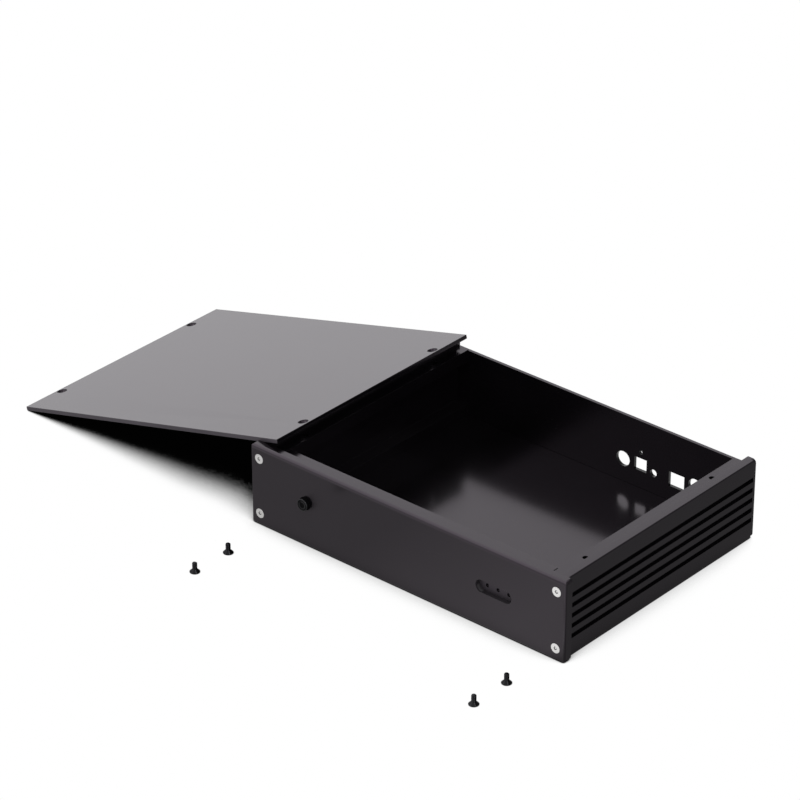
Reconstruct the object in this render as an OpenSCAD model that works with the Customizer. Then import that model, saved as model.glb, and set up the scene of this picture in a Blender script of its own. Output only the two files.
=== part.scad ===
// Low black anodised aluminium enclosure, shown opened: the top cover is off, one long edge on the floor
// and leaning on the left side, and its four screws stand on their heads in front.
// Millimetres. Origin: centre of the base on the floor. +X right seen from the front, +Y to the rear, +Z up.

/* [Front panel] */
// Width of the front panel
panel_w = 231; // [200:1:300]
// Height of the front panel
panel_h = 51.6; // [48:0.1:80]
// Thickness of the front panel
panel_t = 6; // [5.5:0.1:10]
// How far the front panel stands past each side
panel_overhang = 2.7; // [1:0.1:3.5]
// How far the front panel stands above the sides
panel_rise = 0.4; // [0:0.1:2]
// Radius of the front panel's four corners, seen from the front
panel_corner_r = 2; // [0.5:0.1:3]
// Radius of the front panel's two upright front edges
panel_upright_r = 1.5; // [0.5:0.1:3]
// Radius of the front panel's top front edge
panel_edge_r = 2.5; // [0.3:0.1:3]
// Radius of the front panel's bottom front edge
panel_foot_r = 1.4; // [0.3:0.1:2]
// Screw centres, in from the outer face of each side
end_screw_inset = 3.6; // [3.4:0.1:3.8]
// Height from the lower to the upper screw centres
end_screw_span = 36; // [35:0.1:37.5]

/* [Indicator recess] */
// Centre of the recess, in from the right end of the front panel
recess_inset = 50.3; // [40:0.1:75]
// Length of the recess
recess_l = 25.6; // [24:0.1:32]
// Height of the recess
recess_h = 8; // [6:0.5:12]
// Depth of the recess
recess_depth = 3.2; // [1:0.1:3.5]
// Diameter of the small holes in the recess
recess_hole_d = 2.4; // [1.5:0.1:3]
// Distance from one small hole to the next
recess_hole_pitch = 7.6; // [5:0.1:8]
// Number of small holes in the recess
recess_holes = 3; // [1:1:3]
// How far the row of small holes lies right of the recess's middle
recess_hole_shift = 0.8; // [-2:0.1:2]
// How far the row of small holes lies above the recess's middle
recess_hole_rise = -0.2; // [-1:0.1:1]

/* [Body] */
// Overall depth, front face to rear face
depth = 175; // [150:1:240]
// Width of each side extrusion, outer face to inner face
side_w = 14.1; // [13:0.1:18]
// Thickness of the upright wall and rib of each side
rib_w = 5.8; // [5.5:0.1:6.6]
// Thickness of the flanges at the top and bottom of each side
flange_t = 8; // [6:0.5:10]
// Radius of the long outer edges of the sides
side_edge_r = 0.6; // [0.2:0.1:1]
// Number of cooling grooves in each side
grooves = 5; // [3:1:5]
// Distance from one groove to the next
groove_pitch = 6.6; // [5.5:0.1:6.8]
// Height of one groove
groove_h = 3; // [2:0.1:3.6]
// Depth of one groove
groove_depth = 2.6; // [1:0.1:3.5]
// Thickness of the back panel
back_t = 2; // [1.5:0.1:3]
// Radius of the back panel's outer corners
back_corner_r = 2.5; // [0.5:0.1:3.5]
// How far the middle of the back panel's top lies below the seats of the cover
back_drop = 0.85; // [0.1:0.05:1.2]

/* [Covers] */
// Thickness of the top cover
cover_t = 2.5; // [2:0.1:3]
// How far the fitted top cover lies below the tops of the ribs
cover_recess = 1; // [0:0.1:1.5]
// Thickness of the bottom plate
bottom_t = 2.5; // [2:0.1:3]
// Gap all round the covers
cover_clear = 0.15; // [0.1:0.05:0.3]
// Cover screw holes, in from the front and rear ends of the top cover
cover_hole_inset = 26.7; // [15:0.1:40]
// How far the leaning cover reaches past the rib that carries it
lean_past = 12.6; // [5:0.1:30]
// Front edge of the leaning cover, behind the front panel
lean_back = 0.1; // [0.1:0.1:10]
// Gap left between the leaning cover and the rib that carries it
lean_gap = 0.05; // [0.02:0.01:0.2]

/* [Front rail] */
// Gap from each end of the rail behind the front panel to the side next to it
rail_gap = 0.5; // [0.2:0.1:20]
// Depth of the rail, front to rear
rail_d = 8.8; // [7:0.1:10]
// Height of the rail
rail_h = 8; // [7:0.5:12]
// Distance between the rail's two screws
rail_screw_span = 120; // [60:1:140]

/* [Screws] */
// Thread diameter of the case screws
screw_d = 3; // [2.5:0.1:3.2]
// Head diameter of the countersunk case screws
screw_head_d = 6.2; // [5:0.1:6.4]
// Length of the countersunk case screws
screw_l = 6; // [5:0.5:8]
// Length of the front panel's screws
panel_screw_l = 12; // [10:0.5:16]
// Length of the rail's screws
rail_screw_l = 11.5; // [11:0.5:12]
// Width across flats of the hex sockets
socket_af = 2; // [1.5:0.1:2.5]
// Depth of the hex sockets
socket_depth = 1.2; // [0.8:0.1:1.4]
// Radial gap between a screw and its hole
screw_clear = 0.05; // [0.02:0.01:0.2]
// Drilled diameter of the empty tapped holes
tap_d = 2.6; // [2.2:0.1:2.8]
// First row of loose screws, in front of the front face
loose_row_y = 34.5; // [25:0.1:60]
// Distance from the first row of loose screws to the second
loose_row_pitch = 27.5; // [15:0.1:40]
// Sideways shift of the loose screws from the middle
loose_shift_x = 0.8; // [-10:0.1:10]

/* [Power button] */
// Centre of the button, in from the left end of the front panel
button_inset = 41.5; // [36:0.1:75]
// Gap from the switch's flange, behind the button, to the rail above it
switch_rail_gap = 1.3; // [0.2:0.1:7]
// Diameter of the button
button_d = 7.6; // [6:0.1:9]
// How far the button stands out of the front panel
button_proud = 2.7; // [2:0.1:5]
// Travel of the button
button_travel = 1.2; // [0.5:0.1:1.6]
// Rounding of the button's rim
button_rim = 0.6; // [0.2:0.1:1]
// Width of the button's stop collar, past the button all round
collar_w = 1; // [0.8:0.1:1.4]
// Thickness of the button's stop collar
collar_t = 1.5; // [1:0.1:2]
// Radial gap round the button and its collar
button_clear = 0.3; // [0.2:0.05:0.4]
// Front panel left in front of the switch
switch_land = 3; // [2.5:0.1:4]
// Wall of the switch housing
switch_wall = 1; // [0.8:0.1:1.4]
// Length of the switch housing
switch_l = 18; // [15:0.5:22]
// Width of the switch housing's mounting flange, past the housing all round
switch_flange_w = 4.5; // [4:0.1:5.5]
// Thickness of the switch housing's mounting flange
switch_flange_t = 1.5; // [1.2:0.1:2.5]
// Thickness of the switch's end cap
switch_cap_t = 3; // [2:0.1:4]
// Wire diameter of the return spring
spring_wire = 0.6; // [0.4:0.05:0.8]
// Coil diameter of the return spring at the middle of the wire
spring_d = 6.4; // [5:0.1:7]
// Turns of the return spring
spring_turns = 6; // [4:1:8]
// Width of one switch terminal
terminal_w = 2.8; // [2:0.1:3]
// Thickness of one switch terminal
terminal_t = 0.6; // [0.4:0.1:0.8]
// Length of one switch terminal behind the end cap
terminal_l = 7; // [5:0.5:10]
// Distance between the two switch terminals
terminal_pitch = 4; // [3:0.1:4.5]
// Thread diameter of the switch screws
switch_screw_d = 2; // [1.6:0.1:2.2]
// Head diameter of the switch screws
switch_screw_head_d = 3.4; // [3:0.1:3.6]
// Length of the switch screws under the head
switch_screw_l = 4; // [3:0.5:5]

/* [Rear cut-outs] */
// Diameter of the large round cut-out
round_a_d = 9.7; // [7:0.1:12]
// Centre of the large round cut-out, right of the middle
round_a_x = 19.6; // [5:0.1:21]
// Height of the large round cut-out's centre
round_a_z = 17.4; // [16:0.1:34]
// Width of the small square cut-out
square_a_w = 8.9; // [7:0.1:11]
// Height of the small square cut-out
square_a_h = 8.3; // [7:0.1:11]
// Centre of the small square cut-out, right of the middle
square_a_x = 32.4; // [31.5:0.1:33]
// Height of the small square cut-out's centre
square_a_z = 18.1; // [16:0.1:19]
// Diameter of the pin hole above the small square cut-out
pin_hole_d = 2.5; // [1:0.1:3.5]
// Height of the pin hole's centre
pin_hole_z = 26.1; // [25.5:0.1:34]
// Diameter of the small round cut-out
round_b_d = 4.8; // [4:0.1:7]
// Centre of the small round cut-out, right of the middle
round_b_x = 42; // [41.5:0.1:47]
// Height of the small round cut-out's centre
round_b_z = 15.9; // [14:0.1:34]
// Width of the large square cut-out
square_b_w = 11.1; // [9:0.1:14]
// Height of the large square cut-out
square_b_h = 9.5; // [8:0.1:14]
// Centre of the large square cut-out, right of the middle
square_b_x = 58.8; // [55:0.1:59.5]
// Height of the large square cut-out's centre
square_b_z = 16.9; // [16:0.1:34]
// Diameter of the outer round cut-out
round_c_d = 9; // [7:0.1:11]
// Centre of the outer round cut-out, right of the middle
round_c_x = 72; // [71.5:0.1:82]
// Height of the outer round cut-out's centre
round_c_z = 18.9; // [16:0.1:34]

/* [Hidden] */
$fn = 64;
// Overrun that keeps cuts clear of the faces they open
over = 1;
// Face gap at stops and seats
seat_gap = 0.05;

body_w = panel_w - 2 * panel_overhang;
side_h = panel_h - panel_rise;
front_y = -depth / 2;
panel_back_y = front_y + panel_t;
rear_y = depth / 2;
back_in_y = rear_y - back_t;
side_l = back_in_y - panel_back_y;
rib_in_x = body_w / 2 - rib_w;
side_in_x = body_w / 2 - side_w;
seat_z = side_h - cover_recess - cover_t;
mid_z = panel_h / 2;
recess_x = panel_w / 2 - recess_inset;

cover_w = 2 * (rib_in_x - cover_clear);
cover_front_y = panel_back_y + cover_clear;
cover_l = back_in_y + back_t / 4 - cover_front_y;
cover_hole_x = (rib_in_x + side_in_x) / 2;
cover_hole_edge = rib_in_x - cover_clear - cover_hole_x;
cover_hole_y = [cover_front_y + cover_hole_inset, cover_front_y + cover_l - cover_hole_inset];

bottom_w = cover_w;
bottom_l = side_l - 2 * cover_clear;
bottom_front_y = panel_back_y + cover_clear;

// The leaning cover turns about its floor edge until its underside meets the left rib's rounded edge
lean_rise = side_h - side_edge_r;
lean_touch = side_edge_r + lean_gap;
lean_reach = norm([cover_w - lean_past, lean_touch]);
lean_angle = asin(lean_rise / lean_reach) + asin(lean_touch / lean_reach);
lean_foot = sqrt(pow(lean_reach, 2) - pow(lean_rise, 2)) - side_edge_r;
lean_x = -body_w / 2 - lean_foot;

end_screw_x = body_w / 2 - end_screw_inset;
end_screw_z = [(side_h - end_screw_span) / 2, (side_h + end_screw_span) / 2];
screw_r = screw_d / 2;
screw_hole_r = screw_r + screw_clear;
screw_head_r = screw_head_d / 2;
countersink = screw_head_r - screw_r;
// Thin straight rim of a countersunk head
head_rim = 0.3;
// Depth of thread left empty past the end of a screw
thread_spare = 1;

rail_l = 2 * (side_in_x - rail_gap);
rail_z = seat_z - rail_h;
rail_screw_z = rail_z + rail_h / 2;
rail_back_y = panel_back_y + rail_d;

button_x = panel_w / 2 - button_inset;
button_r = button_d / 2;
button_hole_r = button_r + button_clear;
collar_r = button_r + collar_w;
switch_in_r = collar_r + button_clear;
switch_r = switch_in_r + switch_wall;
switch_front_y = front_y + switch_land;
switch_back_y = switch_front_y + switch_l;
switch_cap_y = switch_back_y - switch_cap_t;
collar_y = switch_front_y + seat_gap;
spring_y = collar_y + collar_t + seat_gap;
spring_l = switch_cap_y - seat_gap - spring_y;
switch_flange_r = switch_r + switch_flange_w;
button_z = rail_z - switch_rail_gap - switch_flange_r;
switch_screw_x = switch_r + switch_flange_w / 2;
switch_head_t = 1.2;
terminal_in = switch_cap_t;

loose_x = [loose_shift_x - cover_hole_x, loose_shift_x + cover_hole_x];
loose_y = [front_y - loose_row_y, front_y - loose_row_y - loose_row_pitch];

black_anodised = [0.16, 0.155, 0.165];
black_steel = [0.10, 0.10, 0.105];
stainless = [0.80, 0.80, 0.81];
black_plastic = [0.05, 0.05, 0.055];
brass = [0.78, 0.65, 0.35];

// Bar that rounds a convex edge: it lies along +Z, with the sharp edge at the origin and the body at +X +Y
module edge_cutter(length, r) {
    difference() {
        translate([-over, -over, -over])
            cube([r + over, r + over, length + 2 * over]);
        translate([r, r, -2 * over])
            cylinder(r = r, h = length + 4 * over);
    }
}

// Cutters that round the four corners of an upright plate, whose front lies at y = front
module corner_cuts(width, height, front, thickness, r) {
    for (side = [0, 1], top = [0, 1])
        mirror([side, 0, 0])
            translate([-width / 2, front + thickness, top * height])
                mirror([0, 0, top])
                    rotate([90, 0, 0])
                        edge_cutter(thickness, r);
}

// Turns a shape that is drawn along +Z so that it runs along +Y
module along_y() {
    rotate([-90, 0, 0])
        children();
}

// Countersunk screw hole that opens at z = 0 and runs down
module countersunk_hole(length) {
    translate([0, 0, -length])
        cylinder(r = screw_hole_r, h = length + over);
    translate([0, 0, -head_rim - countersink])
        cylinder(r1 = screw_hole_r, r2 = screw_head_r + screw_clear, h = countersink);
    translate([0, 0, -head_rim])
        cylinder(r = screw_head_r + screw_clear, h = head_rim + over);
}

// Countersunk hex socket screw, its head's face at z = 0 and its thread below
module countersunk_screw(length) {
    difference() {
        union() {
            translate([0, 0, -length])
                cylinder(r = screw_r, h = length - head_rim);
            translate([0, 0, -head_rim - countersink])
                cylinder(r1 = screw_r, r2 = screw_head_r, h = countersink);
            translate([0, 0, -head_rim])
                cylinder(r = screw_head_r, h = head_rim);
        }
        translate([0, 0, -socket_depth])
            cylinder(r = socket_af / sqrt(3), h = socket_depth + over, $fn = 6);
    }
}

// Places its children at the four end screws of the body, in the X-Z plane
module at_end_screws() {
    for (x = [-end_screw_x, end_screw_x], z = end_screw_z)
        translate([x, 0, z])
            children();
}

// Places its children at the four cover screw positions, in the X-Y plane
module at_cover_screws() {
    for (x = [-cover_hole_x, cover_hole_x], y = cover_hole_y)
        translate([x, y, 0])
            children();
}

// Slot with round ends, centred on the origin and standing along +Z
module round_ended_slot(length, width, height) {
    run = length - width;
    linear_extrude(height = height)
        union() {
            square([run, width], center = true);
            for (x = [-run / 2, run / 2])
                translate([x, 0])
                    circle(d = width);
        }
}

module front_panel() {
    color(black_anodised)
    difference() {
        translate([-panel_w / 2, front_y, 0])
            cube([panel_w, panel_t, panel_h]);
        front_panel_edge_cuts();
        corner_cuts(panel_w, panel_h, front_y, panel_t, panel_corner_r);
        front_panel_holes();
        button_hole();
        indicator_recess();
    }
}

module front_panel_edge_cuts() {
    for (side = [0, 1])
        mirror([side, 0, 0])
            translate([-panel_w / 2, front_y, 0])
                edge_cutter(panel_h, panel_upright_r);
    translate([-panel_w / 2, front_y, panel_h])
        rotate([90, 0, 90])
            mirror([0, 1, 0])
                edge_cutter(panel_w, panel_edge_r);
    translate([-panel_w / 2, front_y, 0])
        rotate([90, 0, 90])
            edge_cutter(panel_w, panel_foot_r);
}

module front_panel_holes() {
    at_end_screws()
        translate([0, front_y, 0])
            rotate([90, 0, 0])
                countersunk_hole(panel_t + over);
    for (x = [-rail_screw_span / 2, rail_screw_span / 2])
        translate([x, rail_back_y - rail_screw_l - thread_spare / 2, rail_screw_z])
            along_y()
                cylinder(r = screw_hole_r, h = rail_screw_l);
    at_switch_screws()
        translate([0, panel_back_y + switch_flange_t - switch_screw_l - thread_spare / 2, 0])
            along_y()
                cylinder(r = switch_screw_d / 2 + screw_clear, h = switch_screw_l);
}

module button_hole() {
    translate([-button_x, front_y - over, button_z])
        along_y()
            cylinder(r = button_hole_r, h = panel_t + 2 * over);
    translate([-button_x, switch_front_y, button_z])
        along_y()
            cylinder(r = switch_r + screw_clear, h = panel_t);
}

function recess_hole_x(i) = recess_hole_shift + (i - (recess_holes - 1) / 2) * recess_hole_pitch;

module indicator_recess() {
    translate([recess_x, front_y, mid_z])
        rotate([90, 0, 0]) {
            translate([0, 0, -recess_depth])
                round_ended_slot(recess_l, recess_h, recess_depth + over);
            for (i = [0 : recess_holes - 1])
                translate([recess_hole_x(i), recess_hole_rise, -panel_t - over])
                    cylinder(d = recess_hole_d, h = panel_t);
        }
}

module front_rail() {
    color(black_anodised)
    difference() {
        translate([-rail_l / 2, panel_back_y, rail_z])
            cube([rail_l, rail_d, rail_h]);
        for (x = [-rail_screw_span / 2, rail_screw_span / 2])
            translate([x, rail_back_y, rail_screw_z])
                along_y()
                    countersunk_hole(rail_d + over);
    }
}

module rail_screws() {
    color(black_steel)
    for (x = [-rail_screw_span / 2, rail_screw_span / 2])
        translate([x, rail_back_y, rail_screw_z])
            along_y()
                countersunk_screw(rail_screw_l);
}

// Section of the right side: an upright wall with a flange to carry each cover, and cooling grooves outside
module side_section() {
    wall_x = body_w / 2;
    difference() {
        union() {
            translate([wall_x - rib_w, 0])
                square([rib_w, side_h]);
            translate([wall_x - side_w, seat_z - flange_t])
                square([side_w, flange_t]);
            translate([wall_x - side_w, bottom_t])
                square([side_w, flange_t]);
        }
        for (i = [0 : grooves - 1])
            translate([wall_x - groove_depth, groove_z(i) - groove_h / 2])
                square([groove_depth + over, groove_h]);
    }
}

function groove_z(i) = side_h / 2 + (i - (grooves - 1) / 2) * groove_pitch;

module side_extrusion() {
    difference() {
        translate([0, panel_back_y + side_l, 0])
            rotate([90, 0, 0])
                linear_extrude(height = side_l)
                    side_section();
        side_edge_cuts();
        side_tapped_holes();
    }
}

module side_edge_cuts() {
    translate([body_w / 2, panel_back_y, 0])
        mirror([1, 0, 0])
            rotate([90, 0, 180])
                mirror([1, 0, 0])
                    edge_cutter(side_l, side_edge_r);
    translate([body_w / 2, panel_back_y, side_h])
        mirror([1, 0, 0])
            along_y()
                edge_cutter(side_l, side_edge_r);
}

module side_tapped_holes() {
    front_thread = panel_screw_l - panel_t + thread_spare;
    back_thread = screw_l - back_t + thread_spare;
    bottom_thread = screw_l - bottom_t + thread_spare;
    for (z = end_screw_z) {
        translate([end_screw_x, panel_back_y - over, z])
            along_y()
                cylinder(r = screw_hole_r, h = front_thread + over);
        translate([end_screw_x, back_in_y - back_thread, z])
            along_y()
                cylinder(r = screw_hole_r, h = back_thread + over);
    }
    for (y = cover_hole_y) {
        translate([cover_hole_x, y, seat_z - flange_t - over])
            cylinder(d = tap_d, h = flange_t + 2 * over);
        translate([cover_hole_x, y, bottom_t - over])
            cylinder(r = screw_hole_r, h = bottom_thread + over);
    }
}

module right_side() {
    color(black_anodised)
    side_extrusion();
}

module left_side() {
    color(black_anodised)
    mirror([1, 0, 0])
        side_extrusion();
}

module back_panel() {
    color(black_anodised)
    difference() {
        translate([-body_w / 2, back_in_y, 0])
            cube([body_w, back_t, side_h]);
        translate([-rib_in_x, back_in_y - over, seat_z - back_drop])
            cube([2 * rib_in_x, back_t + 2 * over, side_h]);
        corner_cuts(body_w, side_h, back_in_y, back_t, back_corner_r);
        rear_cutouts();
        at_end_screws()
            translate([0, rear_y, 0])
                along_y()
                    countersunk_hole(back_t + over);
    }
}

module rear_cutouts() {
    through = back_t + 2 * over;
    for (hole = [[round_a_x, round_a_z, round_a_d], [round_b_x, round_b_z, round_b_d],
                 [round_c_x, round_c_z, round_c_d], [square_a_x, pin_hole_z, pin_hole_d]])
        translate([hole[0], back_in_y - over, hole[1]])
            along_y()
                cylinder(d = hole[2], h = through);
    for (cut = [[square_a_x, square_a_z, square_a_w, square_a_h],
                [square_b_x, square_b_z, square_b_w, square_b_h]])
        translate([cut[0] - cut[2] / 2, back_in_y - over, cut[1] - cut[3] / 2])
            cube([cut[2], through, cut[3]]);
}

module bottom_plate() {
    color(black_anodised)
    difference() {
        translate([-bottom_w / 2, bottom_front_y, 0])
            cube([bottom_w, bottom_l, bottom_t]);
        at_cover_screws()
            mirror([0, 0, 1])
                countersunk_hole(bottom_t + over);
    }
}

// The cover lies flat with its left front corner at the origin, then turns up about its left edge
module top_cover() {
    color(black_anodised)
    translate([lean_x, panel_back_y + lean_back, 0])
        rotate([0, -lean_angle, 0])
            difference() {
                cube([cover_w, cover_l, cover_t]);
                for (x = [cover_hole_edge, cover_w - cover_hole_edge],
                     y = [cover_hole_inset, cover_l - cover_hole_inset])
                    translate([x, y, cover_t])
                        countersunk_hole(cover_t + over);
            }
}

module front_panel_screws() {
    color(stainless)
    at_end_screws()
        translate([0, front_y, 0])
            rotate([90, 0, 0])
                countersunk_screw(panel_screw_l);
}

module back_panel_screws() {
    color(black_steel)
    at_end_screws()
        translate([0, rear_y, 0])
            along_y()
                countersunk_screw(screw_l);
}

module bottom_plate_screws() {
    color(black_steel)
    at_cover_screws()
        mirror([0, 0, 1])
            countersunk_screw(screw_l);
}

module loose_cover_screws() {
    color(black_steel)
    for (x = loose_x, y = loose_y)
        translate([x, y, 0])
            mirror([0, 0, 1])
                countersunk_screw(screw_l);
}

// Outline of the button from its axis outwards, its face at y = 0 and its collar behind
module button_half_section() {
    shaft_l = button_proud + switch_land + seat_gap;
    union() {
        square([button_r - button_rim, button_rim]);
        translate([0, button_rim])
            square([button_r, shaft_l - button_rim]);
        translate([button_r - button_rim, button_rim])
            circle(r = button_rim);
        translate([0, shaft_l])
            square([collar_r, collar_t]);
    }
}

module power_button() {
    color(black_plastic)
    translate([-button_x, front_y - button_proud, button_z])
        along_y()
            rotate_extrude()
                intersection() {
                    button_half_section();
                    square([2 * collar_r, switch_l]);
                }
}

// Points of the spring's wire, ring by ring along the helix
spring_steps = 14;
spring_sides = 8;
spring_rise = spring_l - spring_wire;
function spring_point(i, k) =
    let (turn = 360 * i / spring_steps,
         ring = 360 * k / spring_sides,
         reach = spring_d / 2 + spring_wire / 2 * cos(ring),
         along = spring_wire / 2 + spring_rise * i / (spring_steps * spring_turns) + spring_wire / 2 * sin(ring))
    [reach * cos(turn), reach * sin(turn), along];

module spring_coil() {
    rings = spring_steps * spring_turns;
    points = [for (i = [0 : rings], k = [0 : spring_sides - 1]) spring_point(i, k)];
    walls = [for (i = [0 : rings - 1], k = [0 : spring_sides - 1])
        let (a = i * spring_sides + k, b = i * spring_sides + (k + 1) % spring_sides)
        [a, b, b + spring_sides, a + spring_sides]];
    ends = [[for (k = [spring_sides - 1 : -1 : 0]) k],
            [for (k = [0 : spring_sides - 1]) rings * spring_sides + k]];
    polyhedron(points = points, faces = concat(walls, ends), convexity = 10);
}

module button_spring() {
    color(stainless)
    translate([-button_x, spring_y, button_z])
        along_y()
            spring_coil();
}

// Places its children at the two switch screws, on the switch's axis height
module at_switch_screws() {
    for (x = [-switch_screw_x, switch_screw_x])
        translate([x - button_x, 0, button_z])
            children();
}

module switch_housing() {
    color(black_plastic)
    difference() {
        union() {
            translate([-button_x, switch_front_y, button_z])
                along_y()
                    cylinder(r = switch_r, h = switch_l);
            translate([-button_x, panel_back_y, button_z])
                along_y()
                    cylinder(r = switch_flange_r, h = switch_flange_t);
        }
        translate([-button_x, switch_front_y - over, button_z])
            along_y()
                cylinder(r = switch_in_r, h = switch_l + 2 * over);
        at_switch_screws()
            translate([0, panel_back_y - over, 0])
                along_y()
                    cylinder(r = switch_screw_d / 2 + screw_clear, h = switch_flange_t + 2 * over);
    }
}

module terminal_blades(gap) {
    for (x = [-terminal_pitch / 2, terminal_pitch / 2])
        translate([x - button_x - terminal_t / 2 - gap, switch_cap_y, button_z - terminal_w / 2 - gap])
            cube([terminal_t + 2 * gap, terminal_in + terminal_l, terminal_w + 2 * gap]);
}

module switch_end_cap() {
    color(black_plastic)
    difference() {
        translate([-button_x, switch_cap_y, button_z])
            along_y()
                cylinder(r = switch_in_r - screw_clear, h = switch_cap_t);
        translate([0, -over, 0])
            terminal_blades(screw_clear);
        terminal_blades(screw_clear);
    }
}

module switch_terminals() {
    color(brass)
    terminal_blades(0);
}

module switch_screws() {
    color(stainless)
    at_switch_screws()
        translate([0, panel_back_y + switch_flange_t, 0])
            along_y() {
                translate([0, 0, -switch_screw_l])
                    cylinder(d = switch_screw_d, h = switch_screw_l);
                cylinder(d = switch_screw_head_d, h = switch_head_t);
            }
}

front_panel();
front_rail();
left_side();
right_side();
back_panel();
bottom_plate();
top_cover();
front_panel_screws();
back_panel_screws();
bottom_plate_screws();
rail_screws();
loose_cover_screws();
power_button();
button_spring();
switch_housing();
switch_end_cap();
switch_terminals();
switch_screws();
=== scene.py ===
# %% [markdown]
# A low black aluminium enclosure, photographed open: the top cover is off and leans on the left side, and
# its four screws stand on their heads in front. The solid model gives every place and size in metres. This
# lesson dresses it: softened metal edges, real threads, satin finishes, a pale floor and soft light.

# %% Load the solid model
import math

import bmesh
import bpy
from mathutils import Matrix, Vector


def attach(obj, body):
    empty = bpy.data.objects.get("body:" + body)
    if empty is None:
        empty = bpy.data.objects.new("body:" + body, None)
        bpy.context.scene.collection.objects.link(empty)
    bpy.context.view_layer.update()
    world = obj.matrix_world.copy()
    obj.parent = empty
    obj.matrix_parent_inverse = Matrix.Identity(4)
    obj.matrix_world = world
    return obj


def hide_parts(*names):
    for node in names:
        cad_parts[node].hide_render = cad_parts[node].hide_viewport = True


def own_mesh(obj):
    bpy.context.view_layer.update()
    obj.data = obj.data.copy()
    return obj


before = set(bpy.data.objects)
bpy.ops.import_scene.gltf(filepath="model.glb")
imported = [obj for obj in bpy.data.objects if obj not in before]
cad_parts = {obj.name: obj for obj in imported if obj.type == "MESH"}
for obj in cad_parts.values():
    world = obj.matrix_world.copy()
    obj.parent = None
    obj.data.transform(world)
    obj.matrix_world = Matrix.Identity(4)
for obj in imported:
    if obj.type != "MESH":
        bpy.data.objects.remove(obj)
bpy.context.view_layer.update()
scene = bpy.context.scene
MM = 0.001

# %% [markdown]
# The camera stands far off to the right with a long lens, so the box's edges stay almost parallel. Its place
# was solved from the box's measured edges. A rotation matrix made of right, up and back says exactly where
# it looks.

# %% Camera
AZIMUTH = math.radians(41.0016)
ELEVATION = math.radians(29.1713)
CAMERA_PLACE = Vector((1.240223, -1.517045, 1.178626))
LENS_MM = 178.946
SENSOR_MM = 36.0
FARTHEST = 20.0
level_part = math.cos(ELEVATION)
back = Vector((math.sin(AZIMUTH) * level_part, -math.cos(AZIMUTH) * level_part, math.sin(ELEVATION)))
right = Vector((math.cos(AZIMUTH), math.sin(AZIMUTH), 0.0))
up = back.cross(right)
camera_data = bpy.data.cameras.new("photo_camera")
camera_data.sensor_width = SENSOR_MM
camera_data.lens = LENS_MM
camera_data.clip_end = FARTHEST
camera = bpy.data.objects.new("photo_camera", camera_data)
camera_turn = Matrix((right, up, back)).transposed().to_4x4()
camera.matrix_world = Matrix.Translation(CAMERA_PLACE) @ camera_turn
scene.collection.objects.link(camera)
scene.camera = camera
print("Camera at", [round(value, 3) for value in camera.location], "with a", camera_data.lens, "mm lens")

# %% [markdown]
# Node trees are easier to read when each node is added and wired in one line. This small helper does that
# for shader trees and for geometry trees alike: a value is typed in, and a socket is linked. A Mix node
# keeps sockets for every kind of value, so its factor, its two colours and its result are named by number.

# %% Helper for node trees
COLOUR_INPUTS = (0, 6, 7)
COLOUR_OUTPUT = 2


class Wiring:
    """Adds nodes to one tree and wires their inputs."""

    def __init__(self, tree):
        self.tree = tree

    def feed(self, socket, value):
        if isinstance(value, bpy.types.NodeSocket):
            self.tree.links.new(value, socket)
        else:
            socket.default_value = value

    def add(self, kind, inputs=None, **settings):
        node = self.tree.nodes.new(kind)
        for label, value in settings.items():
            setattr(node, label, value)
        for key, value in (inputs or {}).items():
            self.feed(node.inputs[key], value)
        return node

    def math(self, operation, *values):
        node = self.add("ShaderNodeMath", operation=operation)
        for index, value in enumerate(values):
            self.feed(node.inputs[index], value)
        return node.outputs[0]

    def share(self, part, first, second):
        rest = self.math("MULTIPLY", second, 1.0 - part)
        return self.math("MULTIPLY_ADD", first, part, rest)

    def span(self, value, low, high, to_low, to_high):
        labels = ("Value", "From Min", "From Max", "To Min", "To Max")
        limits = dict(zip(labels, (value, low, high, to_low, to_high)))
        return self.add("ShaderNodeMapRange", limits).outputs[0]

    def vector(self, x, y, z):
        return self.add("ShaderNodeCombineXYZ", {"X": x, "Y": y, "Z": z}).outputs[0]

    def facing(self, ray, side):
        return self.add("ShaderNodeVectorMath", {0: ray, 1: side}, operation="DOT_PRODUCT").outputs["Value"]

    def blend(self, factor, first, second):
        node = self.add("ShaderNodeMix", data_type="RGBA")
        for socket, value in zip(COLOUR_INPUTS, (factor, first, second)):
            self.feed(node.inputs[socket], value)
        return node.outputs[COLOUR_OUTPUT]

    def join(self, parts, socket):
        for part in parts:
            self.tree.links.new(part, socket)


def new_tree(name, kind, inputs, outputs):
    """An empty node group with named inputs and outputs, and its two end nodes."""
    tree = bpy.data.node_groups.new(name, kind)
    for label, socket_kind, value in inputs:
        socket = tree.interface.new_socket(label, in_out="INPUT", socket_type=socket_kind)
        if value is not None:
            socket.default_value = value
    for label, socket_kind in outputs:
        tree.interface.new_socket(label, in_out="OUTPUT", socket_type=socket_kind)
    print("Tree begun:", name)
    return Wiring(tree), tree.nodes.new("NodeGroupInput"), tree.nodes.new("NodeGroupOutput")


# %% [markdown]
# Anodised aluminium is etched before it is dyed, which leaves a very fine satin grain. It could be a picture,
# but two noises in Object coordinates give it at the right scale from any distance. Every metal here shares
# it.

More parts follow.
